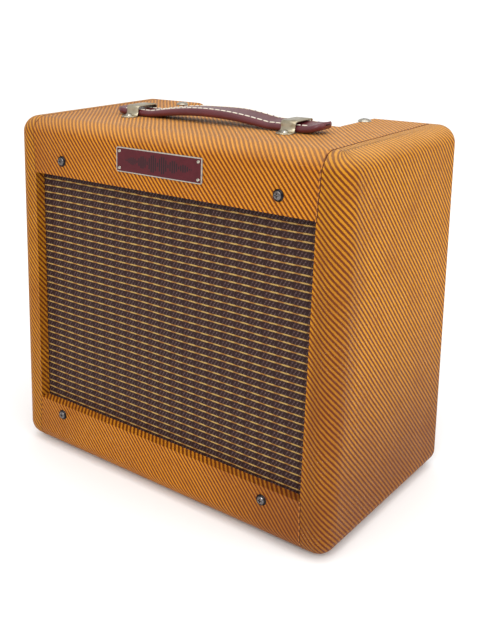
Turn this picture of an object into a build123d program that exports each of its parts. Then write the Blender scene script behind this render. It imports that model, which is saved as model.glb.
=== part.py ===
"""Small tweed-covered valve guitar amplifier with one eight-inch speaker.

Frame: millimetres, origin at the centre of the footprint on the floor, +X to the right seen
from the front, the speaker side faces -Y, +Z up.
"""

import math
import os

from build123d import *

# Cabinet
WIDTH = 343.0
HALF_W = WIDTH / 2
HALF_D = 101.5
GLIDE_H = 3.0
TOP_Z = 318.0
FACE_H = TOP_Z - GLIDE_H
FRONT_TILT = 2.36
BACK_TILT = 2.18
CENTRE_SHIFT = 0.38
SKIN = 1.0
WOOD = 18.0
WALL = SKIN + WOOD
FRONT_R = 15.0
BACK_R = 9.0
INNER_X = HALF_W - WALL
INNER_TOP = TOP_Z - WALL
INNER_BOTTOM = GLIDE_H + WALL
FINGER = 15.0

# Front frame, grille and baffle, measured along the leaning front face
FRAME_T = 9.8
OPEN_X = 147.0
OPEN_LOW = 46.2
OPEN_HIGH = 266.3
CLOTH_T = 0.8
BAFFLE_T = 9.5
BAFFLE_X = 151.5
BAFFLE_LOW = 20.5
BAFFLE_HIGH = 294.5
BAFFLE_SCREWS = ((-117.5, 36.3), (111.8, 34.5), (-112.3, 279.8), (114.5, 280.5))
SEAM_EDGE_X = 150.0
PLATE_Y = 289.7
PLATE_W = 90.0
PLATE_H = 20.4
PLATE_T = 1.2

# Control recess in the top
NOTCH_X = 93.0
NOTCH_Y = 28.0
NOTCH_R = 6.0

# Back panels, measured along the leaning back face
PANEL_X = 151.7
PANEL_INSET = 1.0
PANEL_T = 7.0
UPPER_PANEL = (237.0, 295.3)
LOWER_PANEL = (19.6, 117.0)
CLEAT = 12.0
CLEAT_X = INNER_X - CLEAT / 2
UPPER_SCREW_YS = (247.0, 286.0)
LOWER_SCREW_YS = (30.0, 106.0)

# Handle
HANDLE_Y = -18.6
STRAP_HALF_W = 11.4
STRAP_BOTTOM = TOP_Z + 0.5
STRAP_T = 5.5
STRAP_FLAT_X = 62.0
STRAP_RISE = 5.2
STRAP_PAD = 1.2
STRAP_ENDS = (-103.3, 111.5)
STRAP_EDGE_R = 2.0
CURL_L = 18.0
CURL_HS = (1.5, 4.2)
CLIP_XS = (-80.7, 83.5)
CLIP_W = 15.0
CLIP_T = 1.2
CLIP_IN_H = 8.7
CLIP_IN_HALF = 11.8
CLIP_FOOT = 24.5
CLIP_SCREW = 17.3

# Chassis
CH_X = 118.0
CH_FRONT = 22.0
CH_BACK = 81.5
CH_BOTTOM = 245.0
CH_TOP = INNER_TOP
CH_T = 1.5
CONTROL_Y = 55.0
CHASSIS_SCREW = (100.0, 61.0)
JACK_XS = (-45.0, -70.0)
VOLUME_X = -16.0
LAMP_X = 30.0
FUSE_X = 58.0
VALVE_Y = 52.0
OCTAL_XS = (-14.0, 32.0)
NOVAL_X = -58.0
MAINS_HOLE = (50.0, 32.0)
LEAD_HOLE = (-36.0, 32.0)
POWER_T = (88.0, 52.0)
POWER_HOLE_X = 24.5
POWER_HOLE_Y = 20.5
OUTPUT_T = (-96.0, 52.0)

# Eyelet board on its posts inside the chassis
BOARD_XS = (-82.0, 52.0)
BOARD_FRONT = 29.0
BOARD_FACE = 31.0
BOARD_LOW = 255.0
BOARD_HIGH = 289.0
POST_XS = (-74.0, 44.0)
POST_ZS = (261.0, 283.0)
POST_R = 3.0
POST_PIN_R = 1.5
LEAD_R = 0.4

# Speaker, measured along the leaning front face
SPK_Y = 140.0
FLANGE_R = 101.5
SPK_SCREW_R = 96.5
CONE_R = 83.0
COIL_IN = 12.6
COIL_OUT = 13.0

FRONT = Plane(
    origin=(0, -HALF_D, GLIDE_H),
    x_dir=(1, 0, 0),
    z_dir=(0, -math.cos(math.radians(FRONT_TILT)), math.sin(math.radians(FRONT_TILT))),
).location
BACK = Plane(
    origin=(0, HALF_D, GLIDE_H),
    x_dir=(-1, 0, 0),
    z_dir=(0, math.cos(math.radians(BACK_TILT)), math.sin(math.radians(BACK_TILT))),
).location
BIG = 400.0


def block(x0, x1, y0, y1, z0, z1):
    """Axis-aligned block between two corners."""
    centre = Pos((x0 + x1) / 2, (y0 + y1) / 2, (z0 + z1) / 2)
    return centre * Box(x1 - x0, y1 - y0, z1 - z0)


def rod(x, y, z0, z1, radius):
    """Upright cylinder."""
    return Pos(x, y, (z0 + z1) / 2) * Cylinder(radius, z1 - z0)


def tube(x, y, z0, z1, inner, outer):
    """Upright tube."""
    return rod(x, y, z0, z1, outer) - rod(x, y, z0 - 1, z1 + 1, inner)


def turned(points):
    """Solid of revolution about local Z from (radius, height) points."""
    face = make_face(Plane.XZ * Polyline(*points, close=True))
    return revolve(face, Axis.Z)


def hexagon(x, y, z0, z1, flats, bore):
    """Hexagonal nut with a plain bore."""
    nut = extrude(RegularPolygon(flats / 2, 6, major_radius=False), z1 - z0)
    return Pos(x, y, z0) * nut - rod(x, y, z0 - 1, z1 + 1, bore)


def save(name, *items):
    """Write one node, holding all the solids of the given shapes."""
    solids = []
    for item in items:
        solids.extend(item.solids())
    solids = [Pos(0, CENTRE_SHIFT, 0) * solid for solid in solids]
    shape = solids[0] if len(solids) == 1 else Compound(children=solids)
    export_step(shape, f"parts/{name}.step")


# ---------------------------------------------------------------- cabinet


def cabinet_body(inset):
    """Rounded, tapered cabinet block, drawn in by the inset on every side."""
    low = GLIDE_H + inset
    high = TOP_Z - inset
    front_step = inset / math.cos(math.radians(FRONT_TILT))
    back_step = inset / math.cos(math.radians(BACK_TILT))
    front_slope = math.tan(math.radians(FRONT_TILT))
    back_slope = math.tan(math.radians(BACK_TILT))
    side = Polyline(
        (-HALF_D + (low - GLIDE_H) * front_slope + front_step, low),
        (HALF_D - (low - GLIDE_H) * back_slope - back_step, low),
        (HALF_D - (high - GLIDE_H) * back_slope - back_step, high),
        (-HALF_D + (high - GLIDE_H) * front_slope + front_step, high),
        close=True,
    )
    body = extrude(make_face(Plane.YZ * side), HALF_W - inset, both=True)
    front_edges = body.faces().sort_by(Axis.Y)[0].edges()
    long_edges = [
        edge
        for face in (body.faces().sort_by(Axis.X)[0], body.faces().sort_by(Axis.X)[-1])
        for edge in face.edges().sort_by(Axis.Z)[0:1] + face.edges().sort_by(Axis.Z)[-1:]
    ]
    body = fillet(list(front_edges) + long_edges, FRONT_R - inset)
    back_edges = body.faces().sort_by(Axis.Y)[-1].edges()
    return fillet(back_edges, BACK_R - inset)


def notch(grow):
    """Control recess: straight walls that flare over a rounded lip at the top."""
    wall_x = NOTCH_X + grow
    wall_y = NOTCH_Y - grow
    radius = NOTCH_R - grow
    lip_x = NOTCH_X + NOTCH_R
    lip_y = NOTCH_Y - NOTCH_R
    lip_z = TOP_Z - NOTCH_R
    cut = block(-wall_x, wall_x, wall_y, BIG, INNER_TOP - 1, BIG)
    for side in (-1, 1):
        start, end = sorted((side * wall_x, side * lip_x))
        flare = block(start, end, lip_y, BIG, lip_z, BIG)
        cut += flare - Pos(side * lip_x, 0, lip_z) * Rot(90, 0, 0) * Cylinder(radius, 2 * BIG)
    flare = block(-lip_x, lip_x, lip_y, wall_y, lip_z, BIG)
    return cut + (flare - Pos(0, lip_y, lip_z) * Rot(0, 90, 0) * Cylinder(radius, BIG))


def finger_stripes():
    """Slabs across the cabinet that decide which board owns each corner finger."""
    stripes = [
        block(-BIG, BIG, y, y + FINGER, -BIG, BIG)
        for y in [-6.5 * FINGER + 2 * FINGER * i for i in range(7)]
    ]
    return Compound(children=stripes)


def screw_holes():
    """Every hole that fixings make in the boards and the tweed."""
    holes = []
    for x, y in BAFFLE_SCREWS:
        holes.append(FRONT * rod(x, y, -FRAME_T - 1, 5, 2.2))
    for x in (-PLATE_W / 2 + 3.5, PLATE_W / 2 - 3.5):
        for y in (-PLATE_H / 2 + 3.2, PLATE_H / 2 - 3.2):
            holes.append(FRONT * rod(x, PLATE_Y + y, -7, 5, 0.8))
    for x in (-CHASSIS_SCREW[0], CHASSIS_SCREW[0]):
        holes.append(rod(x, CHASSIS_SCREW[1], INNER_TOP - 1, BIG, 2.7))
    for x in CLIP_XS:
        for y in (HANDLE_Y - CLIP_SCREW, HANDLE_Y + CLIP_SCREW):
            holes.append(rod(x, y, TOP_Z - 14, BIG, 1.7))
    for x, y in glide_spots():
        holes.append(rod(x, y, -1, GLIDE_H + 11, 1.2))
    return Compound(children=holes)


def glide_spots():
    """Centres of the four glides."""
    return [(x, y) for x in (-145.0, 145.0) for y in (-76.0, 76.0)]


def build_cabinet():
    """Boards, front frame and tweed covering."""
    outer = cabinet_body(0) - notch(0)
    wood = cabinet_body(SKIN) - notch(SKIN)
    holes = screw_holes()
    front_slab = FRONT * block(-BIG, BIG, -BIG, BIG, -FRAME_T, BIG)
    frame = (wood & front_slab) - holes
    shell = wood - front_slab
    cavity = block(-INNER_X, INNER_X, -BIG, BIG, INNER_BOTTOM, INNER_TOP) - front_slab
    opening_x = OPEN_X + SKIN
    low = OPEN_LOW - SKIN
    high = OPEN_HIGH + SKIN
    stile = FRONT * block(opening_x, BIG, -BIG, BIG, -BIG, BIG)
    save("front_stiles", frame & stile, frame & mirror(stile, Plane.YZ))
    save("front_top_rail", frame & FRONT * block(-opening_x, opening_x, high, BIG, -BIG, BIG))
    save("front_bottom_rail", frame & FRONT * block(-opening_x, opening_x, -BIG, low, -BIG, BIG))
    stripes = finger_stripes()
    upper = block(-BIG, BIG, -BIG, BIG, INNER_TOP, BIG)
    lower = block(-BIG, BIG, -BIG, BIG, -BIG, INNER_BOTTOM)
    sides = block(INNER_X, BIG, -BIG, BIG, -BIG, BIG)
    sides += block(-BIG, -INNER_X, -BIG, BIG, -BIG, BIG)
    side_fingers = stripes & sides
    save("cabinet_top", (shell & upper) - side_fingers - holes)
    save("cabinet_bottom", (shell & lower) - side_fingers - holes)
    side_boards = ((shell & sides) - upper - lower) + (shell & (upper + lower) & side_fingers)
    side_boards -= holes
    save("cabinet_right_side", side_boards & block(0, BIG, -BIG, BIG, -BIG, BIG))
    save("cabinet_left_side", side_boards & block(-BIG, 0, -BIG, BIG, -BIG, BIG))
    opening = FRONT * block(-OPEN_X, OPEN_X, OPEN_LOW, OPEN_HIGH, -FRAME_T - 1, BIG)
    opening_fill = FRONT * block(-opening_x, opening_x, low, high, -FRAME_T, BIG)
    boards = shell - cavity + ((wood & front_slab) - opening_fill)
    skin = outer - boards - cavity - opening - holes
    centre = centre_prism()
    save("tweed_cover_center", skin & centre)
    save("tweed_cover_right", (skin - centre) & block(0, BIG, -BIG, BIG, -BIG, BIG))
    save("tweed_cover_left", (skin - centre) & block(-BIG, 0, -BIG, BIG, -BIG, BIG))


def centre_prism():
    """Region of the middle tweed piece, waisted at the grille opening."""
    low = GLIDE_H + OPEN_LOW
    high = GLIDE_H + OPEN_HIGH
    right = [(SEAM_EDGE_X, -10), (OPEN_X, low), (OPEN_X, high), (SEAM_EDGE_X, TOP_Z + 10)]
    left = [(-x, z) for x, z in reversed(right)]
    face = make_face(Plane.XZ * Polyline(*right, *left, close=True))
    return extrude(face, BIG, both=True)


def build_glides():
    """Four flat metal glides on nails."""
    glides = []
    for x, y in glide_spots():
        foot = turned([(0, 0), (8.5, 0), (9.5, 1.0), (9.5, GLIDE_H), (0, GLIDE_H)])
        glides.append(Pos(x, y, 0) * foot + rod(x, y, GLIDE_H - 0.5, GLIDE_H + 11, 1.2))
    save("glides", *glides)


# ---------------------------------------------------------------- front


def oval_screw(shank_r, head_r, length):
    """Oval-head screw in its cup washer, standing on the local XY plane."""
    seat = turned(
        [(shank_r + 0.1, 0), (head_r + 1.4, 0), (head_r + 1.4, 0.3),
         (head_r + 0.5, 1.5), (head_r + 0.1, 1.5), (shank_r + 0.1, 0.4)]
    )
    head = turned(
        [(0, 0.4), (shank_r, 0.4), (head_r, 1.5), (head_r * 0.8, 2.1), (head_r * 0.4, 2.45),
         (0, 2.5)]
    )
    for angle in (0, 90):
        head -= Pos(0, 0, 2.2) * Rot(0, 0, angle) * Box(head_r * 1.1, 0.9, 1.6)
    return seat, head + rod(0, 0, 0.5 - length, 0.5, shank_r)


def build_front():
    """Baffle board, grille cloth, their screws and the nameplate."""
    centre = FRONT * Pos(0, SPK_Y, 0)
    board = FRONT * block(
        -BAFFLE_X, BAFFLE_X, BAFFLE_LOW, BAFFLE_HIGH, -FRAME_T - CLOTH_T - BAFFLE_T,
        -FRAME_T - CLOTH_T,
    )
    board -= centre * rod(0, 0, -40, 0, 90.0)
    cloth = FRONT * block(
        -BAFFLE_X, BAFFLE_X, BAFFLE_LOW, BAFFLE_HIGH, -FRAME_T - CLOTH_T, -FRAME_T
    )
    seats = []
    screws = []
    for x, y in BAFFLE_SCREWS:
        seat, screw = oval_screw(2.1, 3.35, 20.0)
        seats.append(FRONT * Pos(x, y, 0) * seat)
        screws.append(FRONT * Pos(x, y, 0) * screw)
        cloth -= FRONT * rod(x, y, -30, 0, 2.2)
        board -= FRONT * rod(x, y, -30, 0, 2.1)
    for x, y in speaker_screw_spots():
        board -= centre * rod(x, y, -40, 0, 1.9)
    save("baffle_board", board)
    save("grille_cloth", cloth)
    save("baffle_cup_washers", *seats)
    save("baffle_screws", *screws)
    plate = FRONT * Pos(0, PLATE_Y, PLATE_T / 2) * Box(PLATE_W, PLATE_H, PLATE_T)
    plate = fillet(plate.edges().filter_by(lambda edge: abs(edge.length - PLATE_T) < 0.01), 1.5)
    pins = []
    for x in (-PLATE_W / 2 + 3.5, PLATE_W / 2 - 3.5):
        for y in (-PLATE_H / 2 + 3.2, PLATE_H / 2 - 3.2):
            pin = turned([(0, PLATE_T), (1.4, PLATE_T), (1.1, PLATE_T + 0.6), (0, PLATE_T + 0.9)])
            pin += rod(0, 0, -6.9, PLATE_T + 0.1, 0.8)
            pins.append(FRONT * Pos(x, PLATE_Y + y, 0) * pin)
            plate -= FRONT * rod(x, PLATE_Y + y, -1, 5, 0.8)
    save("nameplate", plate)
    save("nameplate_pins", *pins)


# ---------------------------------------------------------------- back


def build_back():
    """Two back panels with their tweed, the cleats and the screws."""
    seats = []
    cleats = []
    covers = []
    spans = (
        ("upper_back_panel", UPPER_PANEL, UPPER_SCREW_YS),
        ("lower_back_panel", LOWER_PANEL, LOWER_SCREW_YS),
    )
    for name, (low, high), screw_ys in spans:
        panel = BACK * block(
            -PANEL_X + SKIN, PANEL_X - SKIN, low + SKIN, high - SKIN,
            -PANEL_INSET - PANEL_T, -PANEL_INSET - SKIN,
        )
        tweed = BACK * block(
            -PANEL_X, PANEL_X, low, high, -PANEL_INSET - PANEL_T, -PANEL_INSET
        ) - panel
        for side in (-1, 1):
            x = side * CLEAT_X
            cleat = BACK * block(
                x - CLEAT / 2, x + CLEAT / 2, low + 2, high - 1,
                -PANEL_INSET - PANEL_T - CLEAT, -PANEL_INSET - PANEL_T,
            )
            for y in screw_ys:
                hole = BACK * rod(x, y, -30, 5, 1.8)
                panel -= hole
                tweed -= hole
                cleat -= hole
                seat, screw = oval_screw(1.8, 3.2, 16.0)
                place = BACK * Pos(x, y, -PANEL_INSET)
                seats.append(place * seat)
                seats.append(place * screw)
            cleats.append(cleat)
        save(name, panel)
        covers.append(tweed)
    save("back_panel_tweed", *covers)
    save("back_cleats", *cleats)
    save("back_panel_screws", *seats)


# ---------------------------------------------------------------- handle


def strap_arch(x):
    """Share of the full arch at x: one in the middle, none where the strap lies flat."""
    if abs(x) < STRAP_FLAT_X:
        return math.cos(math.pi * x / (2 * STRAP_FLAT_X))
    return 0.0


def strap_heights(x):
    """Underside and top of the strap: arch in the middle, upturned ends."""
    left = max(STRAP_ENDS[0] + CURL_L - x, 0.0) / CURL_L
    right = max(x - STRAP_ENDS[1] + CURL_L, 0.0) / CURL_L
    low = STRAP_BOTTOM + STRAP_RISE * strap_arch(x) + CURL_HS[0] * left**2 + CURL_HS[1] * right**2
    return low, low + STRAP_T + STRAP_PAD * strap_arch(x)


def build_handle():
    """Leather strap with upturned ends, two clips and their screws."""
    start, end = STRAP_ENDS
    steps = 44
    xs = [start + (end - start) * i / steps for i in range(steps + 1)]
    lower = [(x, strap_heights(x)[0]) for x in xs]
    upper = [(x, strap_heights(x)[1]) for x in reversed(xs)]
    edge = Curve() + [
        Spline(*lower), Line(lower[-1], upper[0]), Spline(*upper), Line(upper[-1], lower[0])
    ]
    strap = extrude(make_face(Plane.XZ * edge), STRAP_HALF_W, both=True)
    strap = fillet(strap.edges().filter_by(GeomType.BSPLINE), STRAP_EDGE_R)
    middle = (start + end) / 2
    plan = extrude(RectangleRounded(end - start, 2 * STRAP_HALF_W, 8.0), BIG, both=True)
    strap = Pos(0, HANDLE_Y, 0) * (strap & Pos(middle, 0, 0) * plan)
    save("handle_strap", strap)
    clips = []
    screws = []
    for x in CLIP_XS:
        clips.append(Pos(x, HANDLE_Y, TOP_Z) * clip())
        for side in (-1, 1):
            head = turned([(0, CLIP_T), (3.2, CLIP_T), (2.6, CLIP_T + 1.3), (1.2, CLIP_T + 1.9),
                           (0, CLIP_T + 2.0)])
            head -= Pos(0, 0, CLIP_T + 1.8) * Box(8, 0.8, 1.2)
            head += rod(0, 0, -13, CLIP_T + 0.2, 1.7)
            screws.append(Pos(x, HANDLE_Y + side * CLIP_SCREW, TOP_Z) * head)
    save("handle_clips", *clips)
    save("handle_screws", *screws)


def clip():
    """Stamped loop over the strap with a rounded foot at each end."""
    inner = CLIP_IN_HALF
    outer = inner + CLIP_T
    rise = CLIP_IN_H
    path = Polyline(
        (-CLIP_FOOT, 0), (-inner, 0), (-inner, rise - 2), (-inner + 2, rise),
        (inner - 2, rise), (inner, rise - 2), (inner, 0), (CLIP_FOOT, 0),
        (CLIP_FOOT, CLIP_T), (outer, CLIP_T), (outer, rise - 1.4), (inner - 1.4, rise + CLIP_T),
        (-inner + 1.4, rise + CLIP_T), (-outer, rise - 1.4), (-outer, CLIP_T),
        (-CLIP_FOOT, CLIP_T), close=True,
    )
    strip = extrude(make_face(Plane.YZ * path), CLIP_W / 2, both=True)
    plan = block(-CLIP_W / 2, CLIP_W / 2, -CLIP_FOOT + 7.5, CLIP_FOOT - 7.5, -1, 20)
    for side in (-1, 1):
        plan += rod(0, side * (CLIP_FOOT - 7.5), -1, 20, 7.5)
        strip -= rod(0, side * CLIP_SCREW, -1, 5, 1.7)
    return strip & plan


# ---------------------------------------------------------------- chassis


def build_chassis():
    """Open-backed steel chassis with its screws and grommets; returns its nuts."""
    chassis = block(-CH_X, CH_X, CH_FRONT, CH_BACK, CH_BOTTOM, CH_TOP)
    chassis -= block(
        -CH_X + CH_T, CH_X - CH_T, CH_FRONT + CH_T, BIG, CH_BOTTOM + CH_T, CH_TOP - CH_T
    )
    top_cuts = [(x, CONTROL_Y, 4.8) for x in JACK_XS]
    top_cuts += [(VOLUME_X, CONTROL_Y, 4.8), (LAMP_X, CONTROL_Y, 7.9), (FUSE_X, CONTROL_Y, 6.3)]
    top_cuts += [(x, CHASSIS_SCREW[1], 2.7) for x in (-CHASSIS_SCREW[0], CHASSIS_SCREW[0])]
    for x, y, radius in top_cuts:
        chassis -= rod(x, y, CH_TOP - 3, CH_TOP + 1, radius)
    bottom_cuts = [(x, VALVE_Y, 14.3) for x in OCTAL_XS] + [(NOVAL_X, VALVE_Y, 9.3)]
    bottom_cuts += [(*MAINS_HOLE, 5.0), (*LEAD_HOLE, 5.0)]
    for x, y, radius in bottom_cuts:
        chassis -= rod(x, y, CH_BOTTOM - 1, CH_BOTTOM + 3, radius)
    x, y = POWER_T
    chassis -= block(x - 22, x + 22, y - 18, y + 18, CH_BOTTOM - 1, CH_BOTTOM + 3)
    for dx in (-POWER_HOLE_X, POWER_HOLE_X):
        for dy in (-POWER_HOLE_Y, POWER_HOLE_Y):
            chassis -= rod(x + dx, y + dy, CH_BOTTOM - 1, CH_BOTTOM + 3, 1.9)
    for post_x in POST_XS:
        for post_z in POST_ZS:
            chassis -= Pos(post_x, CH_FRONT + CH_T, post_z) * Rot(90, 0, 0) * Cylinder(POST_PIN_R, 6)
    save("chassis", chassis)
    screws = []
    nuts = []
    for x in (-CHASSIS_SCREW[0], CHASSIS_SCREW[0]):
        seat, screw = oval_screw(2.6, 4.4, 28.0)
        place = Pos(x, CHASSIS_SCREW[1], TOP_Z)
        screws.extend([place * seat, place * screw])
        nuts.append(hexagon(x, CHASSIS_SCREW[1], CH_TOP - CH_T - 4, CH_TOP - CH_T, 9.5, 2.6))
    save("chassis_screws", *screws)
    grommets = []
    for x, y in (MAINS_HOLE, LEAD_HOLE):
        ring = turned(
            [(3.6, -2), (6.5, -2), (7.0, 0), (5.0, 0), (5.0, CH_T), (7.0, CH_T), (6.5, CH_T + 2),
             (3.6, CH_T + 2)]
        )
        grommets.append(Pos(x, y, CH_BOTTOM) * ring)
    save("cord_grommets", *grommets)
    return nuts


def axial_part(x, z, radius, length, span):
    """Body of an upright axial component and its two bent leads."""
    y = BOARD_FACE + radius + 0.3
    body = rod(x, y, z - length / 2, z + length / 2, radius)
    for side in (-1, 1):
        low, high = sorted((z + side * length / 2, z + side * span / 2))
        body += rod(x, y, low, high, LEAD_R)
        leg = Pos(x, (y + BOARD_FACE) / 2, z + side * span / 2) * Rot(90, 0, 0)
        body += leg * Cylinder(LEAD_R, y - BOARD_FACE)
    return body


def build_board():
    """Eyelet board with its capacitors and resistors; returns its stand-offs."""
    board = block(*BOARD_XS, BOARD_FRONT, BOARD_FACE, BOARD_LOW, BOARD_HIGH)
    posts = []
    for x in POST_XS:
        for z in POST_ZS:
            board -= Pos(x, BOARD_FACE, z) * Rot(90, 0, 0) * Cylinder(POST_PIN_R, 8)
            post = Pos(x, (CH_FRONT + CH_T + BOARD_FRONT) / 2, z) * Rot(90, 0, 0)
            post *= Cylinder(POST_R, BOARD_FRONT - CH_FRONT - CH_T)
            pin = Pos(x, (CH_FRONT + BOARD_FACE) / 2, z) * Rot(90, 0, 0)
            posts.append(post + pin * Cylinder(POST_PIN_R, BOARD_FACE - CH_FRONT))
    save("circuit_board", board)
    middle = (BOARD_LOW + BOARD_HIGH) / 2
    filters = [axial_part(x, middle, 6.0, 22.0, 30.0) for x in (-2.0, 13.0, 28.0)]
    couplers = [axial_part(x, middle, 3.6, 18.0, 28.0) for x in (-62.0, -42.0, -20.0)]
    save("capacitors", *filters, *couplers)
    spots = (-68.0, -56.0, -50.0, -36.0, -30.0, -13.0, 37.5)
    save("resistors", *[axial_part(x, middle, 1.9, 9.0, 26.0) for x in spots])
    return posts


def build_valves():
    """Sockets and the three valves hanging below the chassis."""
    sockets = []
    bases = []
    electrodes = []
    bottom = CH_BOTTOM
    for x in OCTAL_XS:
        socket = rod(x, VALVE_Y, bottom - 4, bottom + 6, 14.3)
        socket += rod(x, VALVE_Y, bottom - 1.2, bottom, 19.0)
        sockets.append(socket)
        base = rod(x, VALVE_Y, bottom - 27, bottom - 4, 16.3)
        bases.append(base - rod(x, VALVE_Y, bottom - 28, bottom - 20, 14.9))
    noval = rod(NOVAL_X, VALVE_Y, bottom - 5, bottom + 6, 9.3)
    noval += rod(NOVAL_X, VALVE_Y, bottom - 1.2, bottom, 13.0)
    sockets.append(noval)
    save("valve_sockets", *sockets)
    save("valve_bases", *bases)
    envelopes = [Pos(NOVAL_X, VALVE_Y, bottom - 5) * bulb(10.2, 46.0)]
    for x in OCTAL_XS:
        envelopes.append(Pos(x, VALVE_Y, bottom - 20) * bulb(14.7, 62.0))
        electrodes.append(tube(x, VALVE_Y, bottom - 68, bottom - 32, 7.5, 8.5))
        electrodes.append(rod(x, VALVE_Y, bottom - 31, bottom - 30, 12.8))
        electrodes.append(rod(x, VALVE_Y, bottom - 70, bottom - 69, 12.8))
        electrodes.append(rod(x, VALVE_Y, bottom - 66, bottom - 34, 1.2))
    save("valve_glass", *envelopes)
    for dx in (-4.2, 4.2):
        electrodes.append(tube(NOVAL_X + dx, VALVE_Y, bottom - 36, bottom - 16, 2.6, 3.2))
    for z in (bottom - 38, bottom - 15):
        electrodes.append(rod(NOVAL_X, VALVE_Y, z, z + 1, 8.6))
    save("valve_electrodes", *electrodes)


def bulb(radius, length):
    """Hollow glass envelope hanging down from the local origin, closed at both ends."""
    wall = 0.9
    outer = [(0, 0), (radius, 0), (radius, -length + radius), (radius * 0.87, -length + radius * 0.5),
             (radius * 0.5, -length + radius * 0.13), (0, -length)]
    shape = turned(outer)
    inner = [(0, -wall), (radius - wall, -wall), (radius - wall, -length + radius),
             (radius * 0.87 - wall, -length + radius * 0.5 + wall * 0.3),
             (radius * 0.5 - wall * 0.4, -length + radius * 0.13 + wall), (0, -length + wall)]
    return shape - turned(inner)


def build_transformers():
    """Power and output transformers on the chassis floor; returns their fixings."""
    x, y = POWER_T
    core = block(x - 28, x + 28, y - 24, y + 24, CH_BOTTOM - 17, CH_BOTTOM)
    below = block(x - 24, x + 24, y - 19, y + 19, CH_BOTTOM - 40, CH_BOTTOM - 17)
    below = fillet(below.faces().sort_by(Axis.Z)[0].edges() + below.edges().filter_by(Axis.Z), 5.0)
    above = block(x - 21.8, x + 21.8, y - 17.8, y + 17.8, CH_BOTTOM, CH_BOTTOM + 22)
    above = fillet(above.faces().sort_by(Axis.Z)[-1].edges() + above.edges().filter_by(Axis.Z), 5.0)
    bolts = []
    for dx in (-POWER_HOLE_X, POWER_HOLE_X):
        for dy in (-POWER_HOLE_Y, POWER_HOLE_Y):
            core -= rod(x + dx, y + dy, CH_BOTTOM - 20, CH_BOTTOM + 1, 1.9)
            bolt = rod(x + dx, y + dy, CH_BOTTOM - 17, CH_BOTTOM + 5.5, 1.9)
            bolts.append(bolt + rod(x + dx, y + dy, CH_BOTTOM - 19, CH_BOTTOM - 17, 3.2))
            bolts.append(hexagon(x + dx, y + dy, CH_BOTTOM + CH_T, CH_BOTTOM + CH_T + 3, 6.4, 1.9))
            below -= rod(x + dx, y + dy, CH_BOTTOM - 20, CH_BOTTOM - 16, 3.3)
    save("power_transformer", core, below, above)
    x, y = OUTPUT_T
    top = CH_BOTTOM
    core = block(x - 18, x + 18, y - 8, y + 8, top - 32, top)
    winding = block(x - 12, x + 12, y - 15, y + 15, top - 24, top - 8)
    winding = fillet(winding.edges().filter_by(Axis.Z), 3.0)
    leg = block(x - 6, x + 6, y - 8, y + 8, top - 25, top - 7)
    window = block(x - 12, x + 12, y - 9, y + 9, top - 24, top - 8) - leg
    save("output_transformer", core - window, winding - leg)
    return bolts


# ---------------------------------------------------------------- panel parts


def build_panel_parts():
    """Jacks, volume control, pilot lamp and fuse on the control panel."""
    top = CH_TOP
    under = CH_TOP - CH_T
    for number, x in enumerate(JACK_XS, start=1):
        save(f"input_jack_{number}", jack(x))
    nuts = [hexagon(x, CONTROL_Y, top, top + 2.2, 12.7, 4.7) for x in JACK_XS]
    nuts.append(hexagon(VOLUME_X, CONTROL_Y, top, top + 2.2, 12.7, 4.7))
    save("panel_nuts", *nuts)
    pot = rod(VOLUME_X, CONTROL_Y, under - 14, under, 12.0)
    pot += rod(VOLUME_X, CONTROL_Y, under - 26, under - 14, 10.5)
    pot += rod(VOLUME_X, CONTROL_Y, under - 1, top + 3.6, 4.7)
    pot -= rod(VOLUME_X, CONTROL_Y, under - 10, top + 5, 3.22)
    for dx in (-5, 0, 5):
        pot += block(VOLUME_X + dx - 1, VOLUME_X + dx + 1, CONTROL_Y - 17, CONTROL_Y - 11,
                     under - 6, under - 5.2)
    save("volume_control", pot)
    save("volume_shaft", rod(VOLUME_X, CONTROL_Y, under - 9, top + 15.5, 3.17))
    save("volume_knob", Pos(VOLUME_X, CONTROL_Y, 0) * pointer_knob())
    x = LAMP_X
    holder = tube(x, CONTROL_Y, under - 15, top, 6.6, 7.9)
    holder += rod(x, CONTROL_Y, under - 17, under - 15, 7.9)
    holder += tube(x, CONTROL_Y, top, top + 2, 6.6, 9.5)
    save("pilot_lamp_holder", holder)
    lamp = rod(x, CONTROL_Y, under - 14.9, under - 4, 4.4)
    save("pilot_bulb", lamp + Pos(x, CONTROL_Y, under - 4) * Sphere(4.4))
    gem = extrude(RegularPolygon(7.8, 12), 5.0, taper=24)
    jewel = Pos(x, CONTROL_Y, top + 3.5) * gem + rod(x, CONTROL_Y, top + 2, top + 3.5, 7.8)
    jewel += tube(x, CONTROL_Y, top - 4, top + 2, 5.2, 6.6)
    save("pilot_jewel", jewel)
    x = FUSE_X
    holder = rod(x, CONTROL_Y, under - 34, top, 6.3) + rod(x, CONTROL_Y, top, top + 1.6, 8.6)
    holder -= rod(x, CONTROL_Y, under - 32, top + 5, 4.65)
    save("fuse_holder", holder)
    cap = rod(x, CONTROL_Y, top + 1.9, top + 9, 6.8) + rod(x, CONTROL_Y, under - 4, top + 2, 4.55)
    for i in range(12):
        angle = math.radians(30 * i)
        flute_x = x + 7.2 * math.cos(angle)
        flute_y = CONTROL_Y + 7.2 * math.sin(angle)
        cap -= rod(flute_x, flute_y, top + 3, top + 10, 0.9)
    cap -= rod(x, CONTROL_Y, under - 5, under + 1, 3.2)
    cap = cap - block(x - 5, x + 5, CONTROL_Y - 0.6, CONTROL_Y + 0.6, top + 8, top + 10)
    save("fuse_cap", cap)
    save("fuse", rod(x, CONTROL_Y, under - 31.9, under + 0.1, 3.1))


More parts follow.
